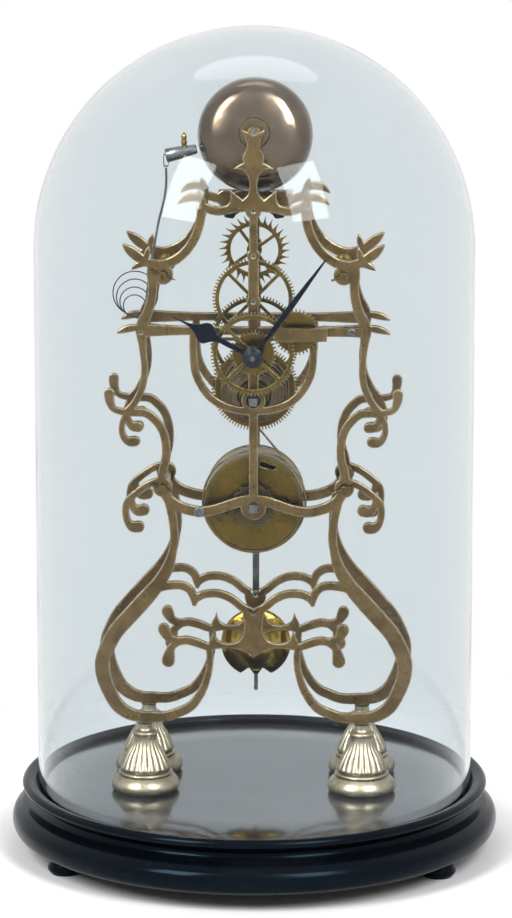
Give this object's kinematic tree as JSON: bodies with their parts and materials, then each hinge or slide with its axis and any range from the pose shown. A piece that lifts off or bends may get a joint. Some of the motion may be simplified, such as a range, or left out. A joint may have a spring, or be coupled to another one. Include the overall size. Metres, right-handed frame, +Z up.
{
  "type": "skeleton clock",
  "caption": "Spring-driven skeleton clock with a fusee, a bell struck by a hammer and a short pendulum, between scroll-pierced brass plates, on a turned base under a glass dome.",
  "frame": {"origin": "centre of the base at the level of the bun feet", "axes": "+Z up, the clock faces -Y, +X to the right of someone who looks at its front"},
  "size_m": [0.2822, 0.2822, 0.4799],
  "materials": {
    "aged_brass": "aged, lacquered",
    "bright_brass": "polished",
    "bell_metal": "polished bell bronze",
    "steel": "worn, bare",
    "blued_steel": "blued",
    "ebonised_wood": "gloss black lacquer",
    "dome_glass": "clear blown glass",
    "gut": "natural gut line"
  },
  "bodies": {
    "clock_frame": {"wooden_base": "ebonised_wood", "bun_foot_1": "ebonised_wood", "bun_foot_2": "ebonised_wood", "bun_foot_3": "ebonised_wood", "front_plate": "aged_brass", "back_plate": "aged_brass", "front_foot_left": "bright_brass", "front_foot_right": "bright_brass", "back_foot_left": "bright_brass", "back_foot_right": "bright_brass", "pillar_upper_left": "bright_brass", "pillar_upper_right": "bright_brass", "pillar_lower_left": "bright_brass", "pillar_lower_right": "bright_brass", "taper_pin_upper_left": "steel", "taper_pin_upper_right": "steel", "taper_pin_lower_left": "steel", "taper_pin_lower_right": "steel", "bell": "bell_metal", "bell_stand": "steel", "bell_nut": "bright_brass", "fusee_line": "gut", "barrel_arbor": "steel", "ratchet_wheel": "steel", "click_screw": "steel", "motion_cock": "aged_brass", "motion_cock_screw": "steel", "pendulum_cock": "aged_brass", "hammer_coil": "steel"},
    "dome": {"glass_dome": "dome_glass"},
    "escape": {"escape_wheel": "bright_brass", "escape_arbor": "steel"},
    "third": {"third_wheel": "aged_brass", "third_arbor": "steel"},
    "centre": {"centre_arbor": "steel", "centre_wheel": "aged_brass", "cannon_wheel": "bright_brass", "minute_hand": "blued_steel", "hand_collet": "steel"},
    "motion": {"motion_wheel": "bright_brass"},
    "hour": {"hour_wheel": "bright_brass", "hour_hand": "blued_steel"},
    "fusee": {"fusee_cone": "aged_brass", "great_wheel": "aged_brass", "fusee_arbor": "steel"},
    "barrel": {"barrel": "aged_brass", "barrel_cover": "bright_brass", "mainspring": "blued_steel"},
    "pendulum": {"suspension_spring": "steel", "pendulum_rod": "steel", "pendulum_bob": "bright_brass", "rating_nut": "bright_brass"},
    "pallets": {"anchor": "blued_steel", "pallet_arbor": "steel", "crutch": "steel"},
    "hammer": {"hammer_arbor": "steel", "hammer_rod": "steel", "hammer_head": "bright_brass"},
    "click": {"click": "steel"}
  },
  "joints": [
    {"name": "escape_spin", "type": "hinge", "parent": "clock_frame", "child": "escape", "pos_m": [0, 0, 0.35253], "axis": [0, 1, 0], "continuous": true},
    {"name": "third_spin", "type": "hinge", "parent": "clock_frame", "child": "third", "pos_m": [0, 0, 0.32641], "axis": [0, 1, 0], "continuous": true},
    {"name": "centre_spin", "type": "hinge", "parent": "clock_frame", "child": "centre", "pos_m": [0, 0, 0.29717], "axis": [0, 1, 0], "continuous": true},
    {"name": "motion_spin", "type": "hinge", "parent": "clock_frame", "child": "motion", "pos_m": [0.0242, 0, 0.30937], "axis": [0, 1, 0], "continuous": true},
    {"name": "hour_spin", "type": "hinge", "parent": "clock_frame", "child": "hour", "pos_m": [0, 0, 0.29717], "axis": [0, 1, 0], "continuous": true},
    {"name": "fusee_spin", "type": "hinge", "parent": "clock_frame", "child": "fusee", "pos_m": [0, 0, 0.26915], "axis": [0, 1, 0], "continuous": true},
    {"name": "barrel_spin", "type": "hinge", "parent": "clock_frame", "child": "barrel", "pos_m": [0, 0, 0.20687], "axis": [0, 1, 0], "continuous": true},
    {"name": "pendulum_swing", "type": "hinge", "parent": "clock_frame", "child": "pendulum", "pos_m": [0, 0.033, 0.37848], "axis": [0, 1, 0], "range_deg": [-2.3, 2.3]},
    {"name": "pallet_rock", "type": "hinge", "parent": "clock_frame", "child": "pallets", "pos_m": [0, 0.033, 0.37848], "axis": [0, 1, 0], "range_deg": [-2.3, 2.3]},
    {"name": "hammer_swing", "type": "hinge", "parent": "clock_frame", "child": "hammer", "pos_m": [-0.06399, 0, 0.30876], "axis": [0, 1, 0], "range_deg": [-10, 0]},
    {"name": "click_lift", "type": "hinge", "parent": "clock_frame", "child": "click", "pos_m": [-0.031, 0, 0.2041], "axis": [0, 1, 0], "range_deg": [0, 12]},
    {"name": "dome_lift", "type": "slide", "parent": "clock_frame", "child": "dome", "axis": [0, 0, 1], "range_m": [0, 0.45]}
  ],
  "couplings": [
    {"joint": "third_spin", "follows": "escape_spin", "ratio": -0.083333},
    {"joint": "centre_spin", "follows": "escape_spin", "ratio": 0.0083333},
    {"joint": "motion_spin", "follows": "escape_spin", "ratio": -0.0083333},
    {"joint": "hour_spin", "follows": "escape_spin", "ratio": 0.00069444},
    {"joint": "fusee_spin", "follows": "escape_spin", "ratio": -0.00079365},
    {"joint": "barrel_spin", "follows": "escape_spin", "ratio": 0.00036723},
    {"joint": "pallet_rock", "follows": "pendulum_swing", "ratio": 1}
  ]
}
